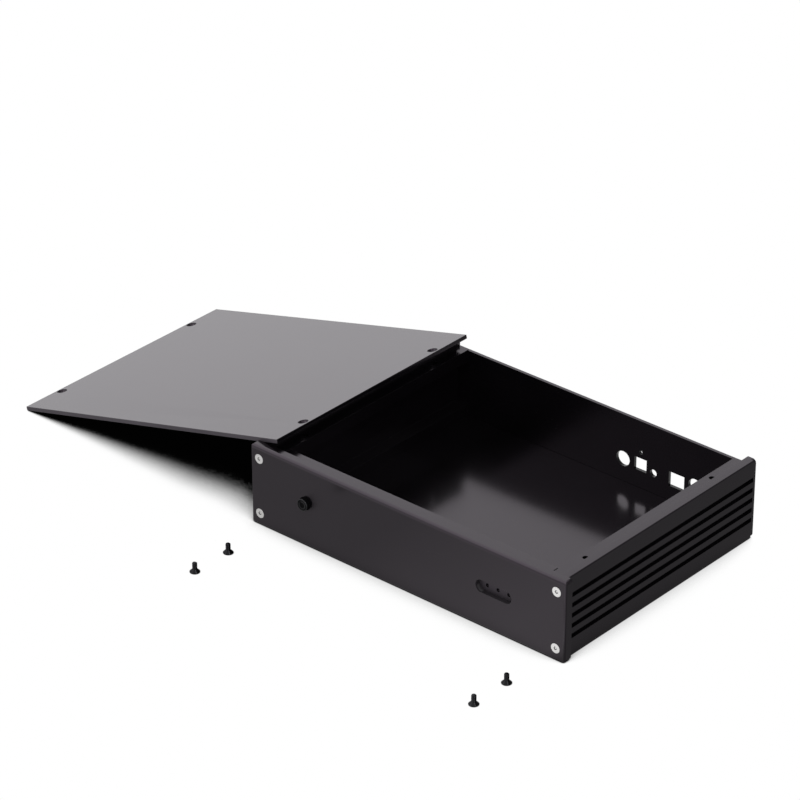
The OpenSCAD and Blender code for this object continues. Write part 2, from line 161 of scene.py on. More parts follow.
# %% Satin grain group
VALUE = "NodeSocketFloat"
VECTOR = "NodeSocketVector"
CLOUD_LIMITS = (0.32, 0.68)
wiring, start, end = new_tree(
    "satin_grain", "ShaderNodeTree",
    [("Place", VECTOR, None), ("Grain per metre", VALUE, 2600.0), ("Cloud per metre", VALUE, 18.0)],
    [("Grain", VALUE), ("Cloud", VALUE)])
given = start.outputs
grain = wiring.add("ShaderNodeTexNoise", {
    "Vector": given["Place"], "Scale": given["Grain per metre"], "Detail": 2.0, "Roughness": 0.6})
cloud = wiring.add("ShaderNodeTexNoise", {
    "Vector": given["Place"], "Scale": given["Cloud per metre"], "Detail": 4.0, "Roughness": 0.55})
wiring.feed(end.inputs["Grain"], grain.outputs["Fac"])
wiring.feed(end.inputs["Cloud"], wiring.span(cloud.outputs["Fac"], *CLOUD_LIMITS, 0.0, 1.0))
satin_grain = wiring.tree

# %% [markdown]
# A side is pulled through a die, which leaves faint lines along its length. Cutting them into the mesh would
# take many faces. Noise stretched along Y draws them in the finish instead.

# %% Drawn line group
wiring, start, end = new_tree(
    "drawn_lines", "ShaderNodeTree",
    [("Place", VECTOR, None), ("Lines per metre", VALUE, 2200.0), ("Length", VALUE, 0.004)],
    [("Lines", VALUE)])
given = start.outputs
stretch = wiring.add("ShaderNodeMapping", {
    "Vector": given["Place"], "Scale": wiring.vector(1.0, given["Length"], 1.0)})
lines = wiring.add("ShaderNodeTexNoise", {
    "Vector": stretch.outputs[0], "Scale": given["Lines per metre"], "Detail": 2.0})
wiring.feed(end.inputs["Lines"], lines.outputs["Fac"])
drawn_lines = wiring.tree

# %% [markdown]
# A few pale specks of dust show on black metal at once. They could be scattered as tiny pieces, but a Voronoi
# cell pattern gives round specks of different sizes for nothing, and a slow noise keeps them to a few places.

# %% Dust group
PATCHES_PER_METRE = 30.0
PATCH_LIMITS = (0.5, 0.75)
wiring, start, end = new_tree(
    "dust_specks", "ShaderNodeTree",
    [("Place", VECTOR, None), ("Specks per metre", VALUE, 260.0), ("Size", VALUE, 0.055)],
    [("Dust", VALUE)])
given = start.outputs
cells = wiring.add("ShaderNodeTexVoronoi", {"Vector": given["Place"], "Scale": given["Specks per metre"]})
patches = wiring.add("ShaderNodeTexNoise", {
    "Vector": given["Place"], "Scale": PATCHES_PER_METRE, "Detail": 3.0})
patch = wiring.span(patches.outputs["Fac"], *PATCH_LIMITS, 0.0, 1.0)
speck_size = wiring.math("MULTIPLY", given["Size"], patch)
speck = wiring.math("LESS_THAN", cells.outputs["Distance"], speck_size)
wiring.feed(end.inputs["Dust"], speck)
dust_specks = wiring.tree

# %% [markdown]
# One recipe makes every finish: a Principled shader whose colour, roughness and bump come from the shared
# groups. Only numbers that change over the surface are wired. Constants such as the sheen are typed into the
# shader itself, because an export loses them when they are linked.

# %% Finish recipe
LINE_PART = 0.65
RING_HEIGHT = 0.3
COLOUR_CLOUD_PART = 0.7
ROUGH_CLOUD_PART = 0.6
DUST_PALE = (0.42, 0.41, 0.4, 1.0)
SOCKET_SHADE = (0.05, 0.05, 0.052, 1.0)
SOCKET_BLUR = 0.05
SOCKET_MIDDLE = (0.5, 0.62)
BUMP_DEPTH = 0.00004
NO_CAST = (1.0, 1.0, 1.0, 1.0)


def finish(name, dark, light, roughness, spread, bump, metallic=0.0, along=False, dust=0.0, rings=0.0,
           shaded_socket_r=0.0, sheen=0.5, tint=NO_CAST):
    """A finish from two tones, a roughness with its spread, and grain bump. Painted socket shade needs rings.
    """
    material = bpy.data.materials.new(name)
    material.use_nodes = True
    wires = Wiring(material.node_tree)
    shader = material.node_tree.nodes["Principled BSDF"]
    place = wires.add("ShaderNodeTexCoord").outputs["Object"]
    satin = wires.add("ShaderNodeGroup", node_tree=satin_grain)
    wires.feed(satin.inputs["Place"], place)
    grain_value, cloud_value = satin.outputs["Grain"], satin.outputs["Cloud"]
    if along:
        drawn = wires.add("ShaderNodeGroup", node_tree=drawn_lines)
        wires.feed(drawn.inputs["Place"], place)
        grain_value = wires.share(LINE_PART, drawn.outputs["Lines"], grain_value)
    if rings:
        radius = wires.add("ShaderNodeAttribute", attribute_name="ring_mm").outputs["Fac"]
        wave = wires.math("SINE", wires.math("MULTIPLY", radius, rings))
        grain_value = wires.math("MULTIPLY_ADD", wave, RING_HEIGHT, grain_value)
    shade = wires.share(COLOUR_CLOUD_PART, cloud_value, grain_value)
    colour = wires.blend(shade, (*dark, 1.0), (*light, 1.0))
    if dust:
        specks = wires.add("ShaderNodeGroup", node_tree=dust_specks)
        wires.feed(specks.inputs["Place"], place)
        colour = wires.blend(wires.math("MULTIPLY", specks.outputs["Dust"], dust), colour, DUST_PALE)
    # Painted shade: a ring inside a hex socket is darkened to grey; the socket's middle keeps the plain
    # colour.
    if shaded_socket_r:
        inside = wires.span(radius, shaded_socket_r - SOCKET_BLUR, shaded_socket_r + SOCKET_BLUR, 1.0, 0.0)
        off_middle = wires.span(radius, shaded_socket_r * SOCKET_MIDDLE[0], shaded_socket_r * SOCKET_MIDDLE[1], 0.0, 1.0)
        colour = wires.blend(wires.math("MULTIPLY", inside, off_middle), colour, SOCKET_SHADE)
    wires.feed(shader.inputs["Base Color"], colour)
    wear = wires.share(ROUGH_CLOUD_PART, cloud_value, grain_value)
    wires.feed(shader.inputs["Roughness"], wires.span(wear, 0.0, 1.0, roughness - spread, roughness + spread))
    shader.inputs["Metallic"].default_value = metallic
    shader.inputs["Specular IOR Level"].default_value = sheen
    shader.inputs["Specular Tint"].default_value = tint
    relief = wires.add("ShaderNodeBump", {"Strength": bump, "Distance": BUMP_DEPTH, "Height": grain_value})
    wires.feed(shader.inputs["Normal"], relief.outputs["Normal"])
    print("Finish made:", name)
    return material


# %% [markdown]
# Black anodising isn't one black. The flat plates are smooth and faintly purple, their softened edges are
# thinner and greyer and carry a painted highlight, and milled, cut or tapped metal is duller. The milled
# recess is also painted lighter, as light in its shade, the cover's cut ends are painted lighter as a
# highlight, and the tapped holes are painted near black as shade. One material everywhere would be simpler,
# but these small differences are what makes the pieces readable, so each finish has two close tones, a
# roughness and a sheen of its own.

# %% Finishes of the black metal
PURPLE_CAST = (1.0, 0.85, 1.0, 1.0)
FAINT_CAST = (1.0, 0.93, 1.0, 1.0)
plate_black = finish("anodised_plate", (0.0015, 0.0013, 0.0016), (0.0035, 0.003, 0.0037),
                     roughness=0.15, spread=0.015, bump=0.03, dust=0.12, tint=PURPLE_CAST)
side_black = finish("anodised_extrusion", (0.002, 0.0017, 0.0022), (0.004, 0.0034, 0.0043),
                    roughness=0.18, spread=0.02, bump=0.05, along=True, dust=0.12, sheen=0.47,
                    tint=PURPLE_CAST)
# The edge finish is lighter than the plate: partly thinner oxide, partly a painted highlight along the rounds.
edge_and_sheen_black = finish("anodised_edge_and_sheen", (0.012, 0.0112, 0.0124), (0.026, 0.0245, 0.0268),
                    roughness=0.22, spread=0.04, bump=0.04, tint=FAINT_CAST)
# Painted highlight: the cover's two cut ends are lighter than the plate, for the light they catch.
end_highlight_black = finish("cover_end_painted_highlight", (0.028, 0.025, 0.029), (0.050, 0.045, 0.052),
                    roughness=0.32, spread=0.05, bump=0.12, tint=PURPLE_CAST)
cut_black = finish("cut_wall", (0.002, 0.0018, 0.0021), (0.004, 0.0036, 0.0042),
                   roughness=0.20, spread=0.04, bump=0.08, sheen=0.35)
# Painted light: the milled walls are lighter than the plate, which lifts the shade in the recess; they are
# also duller.
lit_milled_black = finish("milled_wall_painted_light", (0.017, 0.0155, 0.0175), (0.028, 0.025, 0.029),
                      roughness=0.45, spread=0.05, bump=0.12, sheen=0.25)
# Painted shade: the tapped holes are near black, for the dark inside of the holes.
tapped_shade_black = finish("tapped_hole_painted_shade", (0.001, 0.001, 0.001), (0.003, 0.003, 0.003),
                      roughness=0.50, spread=0.05, bump=0.12, sheen=0.05)
# Painted light: the recess floor is lighter than the plate, which lifts the shade low in the recess.
lit_milled_floor_black = finish("milled_floor_painted_light", (0.012, 0.0105, 0.0125), (0.020, 0.018, 0.021),
                            roughness=0.50, spread=0.05, bump=0.12, tint=PURPLE_CAST)

# %% [markdown]
# The screws are turned, so their heads carry fine rings round the axis, drawn by a sine of the distance from
# it. The bright ones are stainless, the black ones blackened steel. The button and the switch are moulded
# and turned parts with plainer finishes.

# %% Finishes of the screws, the button and the switch
RINGS = 42.0
# The stainless heads get painted shade on the walls of their hex sockets.
bright_steel = finish("turned_stainless", (0.80, 0.79, 0.78), (0.92, 0.91, 0.90),
                      roughness=0.28, spread=0.05, bump=0.10, metallic=1.0, rings=RINGS, shaded_socket_r=1.08)
dark_steel = finish("blackened_steel", (0.014, 0.014, 0.015), (0.026, 0.026, 0.028),
                    roughness=0.14, spread=0.04, bump=0.05, metallic=1.0, rings=RINGS)
spring_wire_steel = finish("spring_wire", (0.50, 0.50, 0.51), (0.62, 0.62, 0.63),
                           roughness=0.28, spread=0.05, bump=0.06, metallic=1.0)
button_black = finish("button_face", (0.0015, 0.0015, 0.0017), (0.004, 0.004, 0.0044),
                      roughness=0.42, spread=0.05, bump=0.05, sheen=0.02)
rim_black = finish("button_rim", (0.022, 0.022, 0.023), (0.036, 0.036, 0.038),
                   roughness=0.12, spread=0.03, bump=0.02, metallic=1.0)
switch_black = finish("moulded_black", (0.012, 0.012, 0.013), (0.022, 0.022, 0.023),
                      roughness=0.45, spread=0.06, bump=0.22)
terminal_brass = finish("terminal_brass", (0.56, 0.42, 0.19), (0.66, 0.51, 0.25),
                        roughness=0.30, spread=0.06, bump=0.10, metallic=1.0)

# %% [markdown]
# The plates are milled and cut, then tumbled, so no edge is knife sharp: a thin bright line runs along every
# one. A Bevel modifier would do, but it also catches the tiny holes. Here a copy of the solid is welded, its
# flat triangles are joined to whole faces, and only the longer edges get a small round with the edge finish,
# which is thinner oxide and a painted highlight.

# %% Softened copies of the plates
SHARP_ANGLE = math.radians(32)
FLAT_ANGLE = math.radians(0.5)
SOFT_ANGLE = math.radians(40)
SOFT_STEPS = 2
SOFT_PROFILE = 0.6
WELD_MM = 0.002


def add_piece(name, mesh, body, node):
    """Puts a finished mesh in the scene in place of a node, with even normals on its large flat faces."""
    mesh.polygons.foreach_set("use_smooth", [True] * len(mesh.polygons))
    mesh.set_sharp_from_angle(angle=SHARP_ANGLE)
    piece = bpy.data.objects.new(name, mesh)
    scene.collection.objects.link(piece)
    even = piece.modifiers.new("Even", "WEIGHTED_NORMAL")
    even.keep_sharp = True
    even_mesh = bpy.data.meshes.new_from_object(piece.evaluated_get(bpy.context.evaluated_depsgraph_get()))
    piece.modifiers.remove(even)
    piece.data = even_mesh
    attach(piece, body)
    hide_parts(node)
    print(name, "stands for", node, "with", len(even_mesh.polygons), "faces")
    return piece


def welded_shape(mesh):
    """A welded copy of a mesh whose flat triangles are joined to whole faces of the first material."""
    shape = bmesh.new()
    shape.from_mesh(mesh)
    for face in shape.faces:
        face.material_index = 0
    bmesh.ops.remove_doubles(shape, verts=shape.verts, dist=WELD_MM * MM)
    bmesh.ops.dissolve_limit(shape, angle_limit=FLAT_ANGLE, verts=shape.verts, edges=shape.edges)
    return shape


def soften(shape, radius_mm, shortest_mm):
    """Rounds the longer sharp edges, and gives the rounds the second material."""
    sharp = [edge for edge in shape.edges
             if edge.is_manifold and edge.calc_face_angle() > SOFT_ANGLE
             and edge.calc_length() > shortest_mm * MM]
    bmesh.ops.bevel(shape, geom=sharp, offset=radius_mm * MM, segments=SOFT_STEPS, profile=SOFT_PROFILE,
                    affect="EDGES", clamp_overlap=True, material=1)


def finished_mesh(name, shape, *materials):
    """Turns an edited shape into a mesh with its materials."""
    mesh = bpy.data.meshes.new(name)
    shape.to_mesh(mesh)
    shape.free()
    for material in materials:
        mesh.materials.append(material)
    return mesh


SHORTEST_MM = 1.2
EDGE_ROUND = {"front_panel": 0.25, "front_rail": 0.25, "back_panel": 0.08, "bottom_plate": 0.05,
              "top_cover": 0.25}
PLATE_FINISHES = (plate_black, edge_and_sheen_black, lit_milled_black, lit_milled_floor_black, cut_black, end_highlight_black)
for node, edge_round in EDGE_ROUND.items():
    shape = welded_shape(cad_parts[node].data)
    soften(shape, edge_round, SHORTEST_MM)
    mesh = finished_mesh(node + "_plate", shape, *PLATE_FINISHES)
    add_piece(node + "_plate", mesh, "case", node)

# %% [markdown]
# The recess and the holes are milled after the plates are cut, and the cutter leaves its own marks. The
# recess walls and floor are also painted lighter, as light in the recess's shade, and the cover's two cut
# ends are painted lighter as a highlight. The walls could be pieces of their own, but they are in the same
# meshes already: a face takes another finish when it is a wall and lies where the cutter went.

# %% Milled and sawn faces
LIT_MILLED_WALL, LIT_MILLED_FLOOR, CUT_WALL, PAINTED_END_HIGHLIGHT = range(2, 6)
RECESS_LOW = Vector((51.0, -87.4, 20.5)) * MM
RECESS_HIGH = Vector((79.5, -84.2, 31.5)) * MM
SOCKETS_LOW = Vector((10.0, 85.0, 10.0)) * MM
SOCKETS_HIGH = Vector((80.0, 88.0, 30.0)) * MM
COVER_LOW = Vector((-400.0, -100.0, -10.0)) * MM
COVER_HIGH = Vector((0.0, 100.0, 100.0)) * MM
FACES_Y = 0.9


def mark_faces(piece_name, low, high, along_y, index):
    """Gives faces inside a box another material: those along Y, those that aren't, or with None all."""
    chosen = [face for face in bpy.data.objects[piece_name].data.polygons
              if along_y in (None, abs(face.normal.y) > FACES_Y)
              and all(least < middle < most for least, middle, most in zip(low, face.center, high))]
    for face in chosen:
        face.material_index = index
    print(piece_name, "has", len(chosen), "faces of finish", index)


# Painted light: the recess walls and floor take the lighter milled finishes.
mark_faces("front_panel_plate", RECESS_LOW, RECESS_HIGH, False, LIT_MILLED_WALL)
mark_faces("front_panel_plate", RECESS_LOW, RECESS_HIGH, True, LIT_MILLED_FLOOR)
mark_faces("back_panel_plate", SOCKETS_LOW, SOCKETS_HIGH, False, CUT_WALL)
# Painted highlight: the cover's front and back ends get the lighter end finish.
mark_faces("top_cover_plate", COVER_LOW, COVER_HIGH, True, PAINTED_END_HIGHLIGHT)

# %% [markdown]
# A geometry tree needs an object to run on. This helper gives it one, sets the tree's inputs by their socket
# identifiers, and keeps only the plain mesh that comes out. Every tree ends in the same way, so a second
# helper realizes what it made and gives it its finish.

# %% Helpers for geometry trees
GEOMETRY = "NodeSocketGeometry"
MATERIAL = "NodeSocketMaterial"
COUNT = "NodeSocketInt"


def grown_mesh(tree, values, points=()):
    """The plain mesh that a geometry tree makes from a few points."""
    seed = bpy.data.meshes.new("seed")
    seed.from_pydata([Vector(point) * MM for point in points], [], [])
    maker = bpy.data.objects.new("maker", seed)
    scene.collection.objects.link(maker)
    modifier = maker.modifiers.new("Grow", "NODES")
    modifier.node_group = tree
    sockets = {item.name: item.identifier for item in tree.interface.items_tree if item.in_out == "INPUT"}
    for label, value in values.items():
        modifier[sockets[label]] = value
    mesh = bpy.data.meshes.new_from_object(maker.evaluated_get(bpy.context.evaluated_depsgraph_get()))
    bpy.data.objects.remove(maker)
    bpy.data.meshes.remove(seed)
    print(tree.name, "grew", len(mesh.polygons), "faces")
    return mesh


def close_tree(wiring, shape, material, end):
    """Realizes a tree's shape, gives it its finish and sends it out."""
    realized = wiring.add("GeometryNodeRealizeInstances", {"Geometry": shape})
    painted = wiring.add("GeometryNodeSetMaterial", {"Geometry": realized.outputs[0], "Material": material})
    wiring.feed(end.inputs["Geometry"], painted.outputs[0])
    return wiring.tree


# %% [markdown]
# Each side is one long extrusion: an upright wall, two flanges that carry the covers, five cooling grooves
# outside and tapped holes. That is a shape that follows a rule, so a geometry tree builds it: three bars are
# joined, then the grooves and holes are taken away. The Side input, 1 or -1, makes the right or the left.

# %% Side extrusion tree
SIDE_SIZES = {
    "Side": 1.0, "Outer Face": 112.8, "Wall": 5.8, "Flange Reach": 14.1, "Flange Height": 8.0, "Seat": 47.7,
    "Foot": 2.5, "Height": 51.2, "Front": -81.5, "Length": 167.0, "Groove Pitch": 6.6, "Groove Height": 3.0,
    "Groove Depth": 2.6}
wiring, start, end = new_tree(
    "grooved_side", "GeometryNodeTree",
    [("Geometry", GEOMETRY, None), ("Groove Count", COUNT, 5), ("Finish", MATERIAL, None)]
    + [(label, VALUE, size) for label, size in SIDE_SIZES.items()],
    [("Geometry", GEOMETRY)])
given = start.outputs
middle_y = wiring.math("MULTIPLY_ADD", given["Length"], 0.5, given["Front"])


def bar(width, height, low):
    """A bar along the whole side, its outer face on the side's outer face."""
    box = wiring.add("GeometryNodeMeshCube", {"Size": wiring.vector(width, given["Length"], height)})
    inset = wiring.math("MULTIPLY_ADD", width, -0.5, given["Outer Face"])
    middle_x = wiring.math("MULTIPLY", inset, given["Side"])
    place = wiring.vector(middle_x, middle_y, wiring.math("MULTIPLY_ADD", height, 0.5, low))
    moved = wiring.add("GeometryNodeTransform", {"Geometry": box.outputs["Mesh"], "Translation": place})
    return moved.outputs[0]


wall = bar(given["Wall"], given["Height"], 0.0)
flange_low = wiring.math("SUBTRACT", given["Seat"], given["Flange Height"])
top_flange = bar(given["Flange Reach"], given["Flange Height"], flange_low)
bottom_flange = bar(given["Flange Reach"], given["Flange Height"], given["Foot"])
blank = wiring.add("GeometryNodeMeshBoolean", operation="UNION", solver="EXACT")
wiring.join((wall, top_flange, bottom_flange), blank.inputs["Mesh 2"])

# %% [markdown]
# The grooves give the wall more surface to cool by. On the real side the die forms them. In the tree, one long
# bar is set on a line of points, half of it inside the wall, and the row is taken away.

# %% Grooves of the side tree
OVERRUN = 2.0
groove_width = wiring.math("MULTIPLY", given["Groove Depth"], 2.0)
groove_length = wiring.math("ADD", given["Length"], OVERRUN)
groove_bar = wiring.add("GeometryNodeMeshCube", {
    "Size": wiring.vector(groove_width, groove_length, given["Groove Height"])})
steps_up = wiring.math("SUBTRACT", given["Groove Count"], 1.0)
half_run = wiring.math("MULTIPLY", steps_up, wiring.math("MULTIPLY", given["Groove Pitch"], 0.5))
lowest = wiring.math("SUBTRACT", wiring.math("MULTIPLY", given["Height"], 0.5), half_run)
outer_x = wiring.math("MULTIPLY", given["Outer Face"], given["Side"])
groove_row = wiring.add("GeometryNodeMeshLine", {
    "Count": given["Groove Count"], "Start Location": wiring.vector(outer_x, middle_y, lowest),
    "Offset": wiring.vector(0.0, 0.0, given["Groove Pitch"])})
groove_cutters = wiring.add("GeometryNodeInstanceOnPoints", {
    "Points": groove_row.outputs["Mesh"], "Instance": groove_bar.outputs["Mesh"]})
print("Groove cutters:", SIDE_SIZES["Groove Height"], "mm high,", SIDE_SIZES["Groove Pitch"], "mm apart")

# %% [markdown]
# Screws go into the ends of a side and into its flanges, always in pairs, so one helper makes a pair of
# drills that stand along Z or lie along Y. The holes for the cover have a wider mouth, as a tapped hole has.

# %% Holes of the side tree
DRILL_SIDES = 24
SCREW_HOLE_R = 1.55
TAP_R = 1.5
MOUTH_R = 1.8
END_SCREW_X = 109.2
END_SCREW_Z = (7.6, 43.6)
COVER_HOLE_X = 102.85
COVER_HOLE_Y = (-54.65, 59.3)
UPRIGHT = (0.0, 0.0, 0.0)
LENGTHWAYS = (math.pi / 2, 0.0, 0.0)
FRONT_END = SIDE_SIZES["Front"]
BACK_END = SIDE_SIZES["Front"] + SIDE_SIZES["Length"]
FLANGE_MIDDLE = SIDE_SIZES["Seat"] - SIDE_SIZES["Flange Height"] / 2
FRONT_DRILL, BACK_DRILL, COVER_DRILL, MOUTH_DRILL, FOOT_DRILL = 14.0, 10.0, 12.0, 1.2, 9.0


def drilled_pair(x, y, z, step, radius, depth, turn):
    """Two drills, the first one's middle at x, y, z and the second a step away."""
    drill = wiring.add("GeometryNodeMeshCylinder", {
        "Vertices": DRILL_SIDES, "Radius": radius, "Depth": depth})
    first = wiring.vector(wiring.math("MULTIPLY", given["Side"], x), y, z)
    row = wiring.add("GeometryNodeMeshLine", {"Count": 2, "Start Location": first, "Offset": step})
    pair = wiring.add("GeometryNodeInstanceOnPoints", {
        "Points": row.outputs["Mesh"], "Instance": drill.outputs["Mesh"], "Rotation": turn})
    return pair.outputs[0]


def end_pair(y, depth):
    """The two drills for the panel screws in one end of the side."""
    step = (0.0, 0.0, END_SCREW_Z[1] - END_SCREW_Z[0])
    return drilled_pair(END_SCREW_X, y, END_SCREW_Z[0], step, SCREW_HOLE_R, depth, LENGTHWAYS)


def flange_pair(z, radius, depth):
    """The two drills for the cover screws in one flange."""
    step = (0.0, COVER_HOLE_Y[1] - COVER_HOLE_Y[0], 0.0)
    return drilled_pair(COVER_HOLE_X, COVER_HOLE_Y[0], z, step, radius, depth, UPRIGHT)


tools = [groove_cutters.outputs[0], end_pair(FRONT_END, FRONT_DRILL), end_pair(BACK_END, BACK_DRILL),
         flange_pair(FLANGE_MIDDLE, TAP_R, COVER_DRILL),
         flange_pair(SIDE_SIZES["Seat"], MOUTH_R, MOUTH_DRILL),
         flange_pair(SIDE_SIZES["Foot"], SCREW_HOLE_R, FOOT_DRILL)]
cut = wiring.add("GeometryNodeMeshBoolean", {"Mesh 1": blank.outputs["Mesh"]}, operation="DIFFERENCE",
                 solver="EXACT")
wiring.join([wiring.add("GeometryNodeRealizeInstances", {"Geometry": tool}).outputs[0] for tool in tools],
            cut.inputs["Mesh 2"])
in_metres = wiring.add("GeometryNodeTransform", {"Geometry": cut.outputs["Mesh"], "Scale": (MM, MM, MM)})
grooved_side = close_tree(wiring, in_metres.outputs[0], given["Finish"], end)
print("Tools that cut a side:", len(tools))

# %% [markdown]
# The die leaves a larger round on the long outer corners, and every other edge is only eased. Both come after
# the tree, because they have to follow the edges that the grooves and holes leave. The tapped holes get a
# dull, near-black finish: painted shade for the dark inside of the holes.

# %% The two sides
OUTER_ROUND = 0.7
OUTER_STEPS = 4
SIDE_ROUND = 0.25
LONG_EDGE = 0.1
CLOSE = 0.01 * MM
TAPPED_SHADE = 2
HOLE_MARGIN = 0.1


def on_outer_corner(vert, hand):
    """True for a point on a side's long outer corners, at the top or the bottom."""
    outside = abs(vert.co.x * hand - SIDE_SIZES["Outer Face"] * MM) < CLOSE
    return outside and (vert.co.z < CLOSE or vert.co.z > SIDE_SIZES["Height"] * MM - CLOSE)


for node, hand in (("right_side", 1.0), ("left_side", -1.0)):
    shape = welded_shape(grown_mesh(grooved_side, {"Side": hand, "Finish": side_black}))
    corners = [edge for edge in shape.edges
               if edge.calc_length() > LONG_EDGE and all(on_outer_corner(vert, hand) for vert in edge.verts)]
    bmesh.ops.bevel(shape, geom=corners, offset=OUTER_ROUND * MM, segments=OUTER_STEPS, profile=0.5,
                    affect="EDGES")
    soften(shape, SIDE_ROUND, SHORTEST_MM)
    mesh = finished_mesh(node + "_extrusion", shape, side_black, edge_and_sheen_black, tapped_shade_black)
    add_piece(node + "_extrusion", mesh, "case", node)
    # Painted shade: the walls of the cover holes take the near-black tapped finish.
    for hole_y in COVER_HOLE_Y:
        hole = Vector((COVER_HOLE_X * hand, hole_y, FLANGE_MIDDLE))
        reach = Vector((MOUTH_R, MOUTH_R, SIDE_SIZES["Flange Height"] / 2 - HOLE_MARGIN))
        mark_faces(node + "_extrusion", (hole - reach) * MM, (hole + reach) * MM, None, TAPPED_SHADE)

# %% [markdown]
# All the screws are one pattern: a countersunk head with a hex socket and a turned thread. One tree makes it
# in millimetres. The thread could be a swept triangle, but a flat grid rolled into a tube, whose radius
# follows a helix, gives a closed skin. Its ends narrow to a point on the axis and are welded.

# %% Thread of the screw tree
ROWS = 121
COLUMNS = 25
ROW = 1.0 / (ROWS - 1)
TIP_ROWS = 8
TIP_PART = 0.86
SCREW_SIZES = {"Thread Diameter": 3.0, "Pitch": 0.5, "Thread Depth": 0.28, "Length": 6.0,
               "Head Diameter": 6.2, "Head Rim": 0.3, "Socket": 2.0, "Socket Depth": 1.2}
wiring, start, end = new_tree(
    "countersunk_screw", "GeometryNodeTree",
    [("Geometry", GEOMETRY, None), ("Turn", VECTOR, None), ("Finish", MATERIAL, None)]
    + [(label, VALUE, size) for label, size in SCREW_SIZES.items()],
    [("Geometry", GEOMETRY)])
given = start.outputs
sheet = wiring.add("GeometryNodeMeshGrid", {
    "Size X": 1.0, "Size Y": 1.0, "Vertices X": COLUMNS, "Vertices Y": ROWS})
flat = wiring.add("ShaderNodeSeparateXYZ", {"Vector": wiring.add("GeometryNodeInputPosition").outputs[0]})
around = wiring.math("ADD", flat.outputs["X"], 0.5)
along = wiring.math("ADD", flat.outputs["Y"], 0.5)
angle = wiring.math("MULTIPLY", around, math.tau)
shank = wiring.math("SUBTRACT", given["Length"], given["Head Rim"])
height = wiring.math("SUBTRACT", wiring.math("MULTIPLY", along, shank), given["Length"])
turns_up = wiring.math("DIVIDE", height, given["Pitch"])
turn_part = wiring.math("FRACT", wiring.math("ADD", turns_up, around))
ridge = wiring.math("ABSOLUTE", wiring.math("MULTIPLY_ADD", turn_part, 2.0, -1.0))
crest = wiring.math("MULTIPLY", given["Thread Diameter"], 0.5)
radius = wiring.math("SUBTRACT", crest, wiring.math("MULTIPLY", ridge, given["Thread Depth"]))
closed_tip = (0.0, ROW, 0.0, 1.0)
tapered_tip = (ROW, TIP_ROWS * ROW, TIP_PART, 1.0)
closed_top = (1.0 - ROW, 1.0, 1.0, 0.0)
for shaping in (closed_tip, tapered_tip, closed_top):
    radius = wiring.math("MULTIPLY", radius, wiring.span(along, *shaping))
rolled = wiring.vector(wiring.math("MULTIPLY", radius, wiring.math("COSINE", angle)),
                       wiring.math("MULTIPLY", radius, wiring.math("SINE", angle)), height)
thread = wiring.add("GeometryNodeSetPosition", {"Geometry": sheet.outputs["Mesh"], "Position": rolled})
welded = wiring.add("GeometryNodeMergeByDistance", {"Geometry": thread.outputs[0], "Distance": WELD_MM})

# %% [markdown]
# The head is a cone under a thin lip, with a hex socket pressed into it: two cones are joined, and a
# six-sided bar is taken out. A named attribute keeps the distance from the screw's own axis, so the finish
# can draw turning rings on every head wherever the screw stands.

# %% Head of the screw tree
HEAD_SIDES = 40
LIP_SLOPE = 0.12
head_r = wiring.math("MULTIPLY", given["Head Diameter"], 0.5)
sink = wiring.math("SUBTRACT", head_r, crest)


def cone(top_r, bottom_r, depth, low):
    """A closed cone that stands on a level."""
    solid = wiring.add("GeometryNodeMeshCone", {
        "Vertices": HEAD_SIDES, "Radius Top": top_r, "Radius Bottom": bottom_r, "Depth": depth})
    moved = wiring.add("GeometryNodeTransform", {
        "Geometry": solid.outputs["Mesh"], "Translation": wiring.vector(0.0, 0.0, low)})
    return moved.outputs[0]


cone_low = wiring.math("MULTIPLY", wiring.math("ADD", given["Head Rim"], sink), -1.0)
lip_low = wiring.math("MULTIPLY", given["Head Rim"], -1.0)
sunk_part = cone(head_r, crest, sink, cone_low)
lip = cone(wiring.math("SUBTRACT", head_r, LIP_SLOPE), head_r, given["Head Rim"], lip_low)
head = wiring.add("GeometryNodeMeshBoolean", operation="UNION", solver="EXACT")
wiring.join((sunk_part, lip), head.inputs["Mesh 2"])
key = wiring.add("GeometryNodeMeshCylinder", {
    "Vertices": 6, "Radius": wiring.math("DIVIDE", given["Socket"], math.sqrt(3.0)),
    "Depth": wiring.math("MULTIPLY", given["Socket Depth"], 2.0)})
socketed = wiring.add("GeometryNodeMeshBoolean", {"Mesh 1": head.outputs["Mesh"]}, operation="DIFFERENCE",
                      solver="EXACT")
wiring.join((key.outputs["Mesh"],), socketed.inputs["Mesh 2"])
whole = wiring.add("GeometryNodeJoinGeometry")
wiring.join((welded.outputs[0], socketed.outputs["Mesh"]), whole.inputs[0])
across = wiring.add("ShaderNodeVectorMath", {
    0: wiring.add("GeometryNodeInputPosition").outputs[0], 1: (1.0, 1.0, 0.0)}, operation="MULTIPLY")
from_axis = wiring.add("ShaderNodeVectorMath", {0: across.outputs[0]}, operation="LENGTH")
ringed = wiring.add("GeometryNodeStoreNamedAttribute", {
    "Geometry": whole.outputs[0], "Name": "ring_mm", "Value": from_axis.outputs["Value"]},
    data_type="FLOAT", domain="POINT")
placed = wiring.add("GeometryNodeInstanceOnPoints", {
    "Points": given["Geometry"], "Instance": ringed.outputs[0], "Rotation": given["Turn"],
    "Scale": (MM, MM, MM)})
countersunk_screw = close_tree(wiring, placed.outputs[0], given["Finish"], end)
print("Screw tree ready, head", SCREW_SIZES["Head Diameter"], "mm wide")

# %% [markdown]
# Bright screws hold the front panel, and black ones hold the rest. The cover's four stand loose on the floor.
# Modelling each by hand would be slow, so the tree runs once for each set: its points say where the heads
# are, and its turn says which way they face.

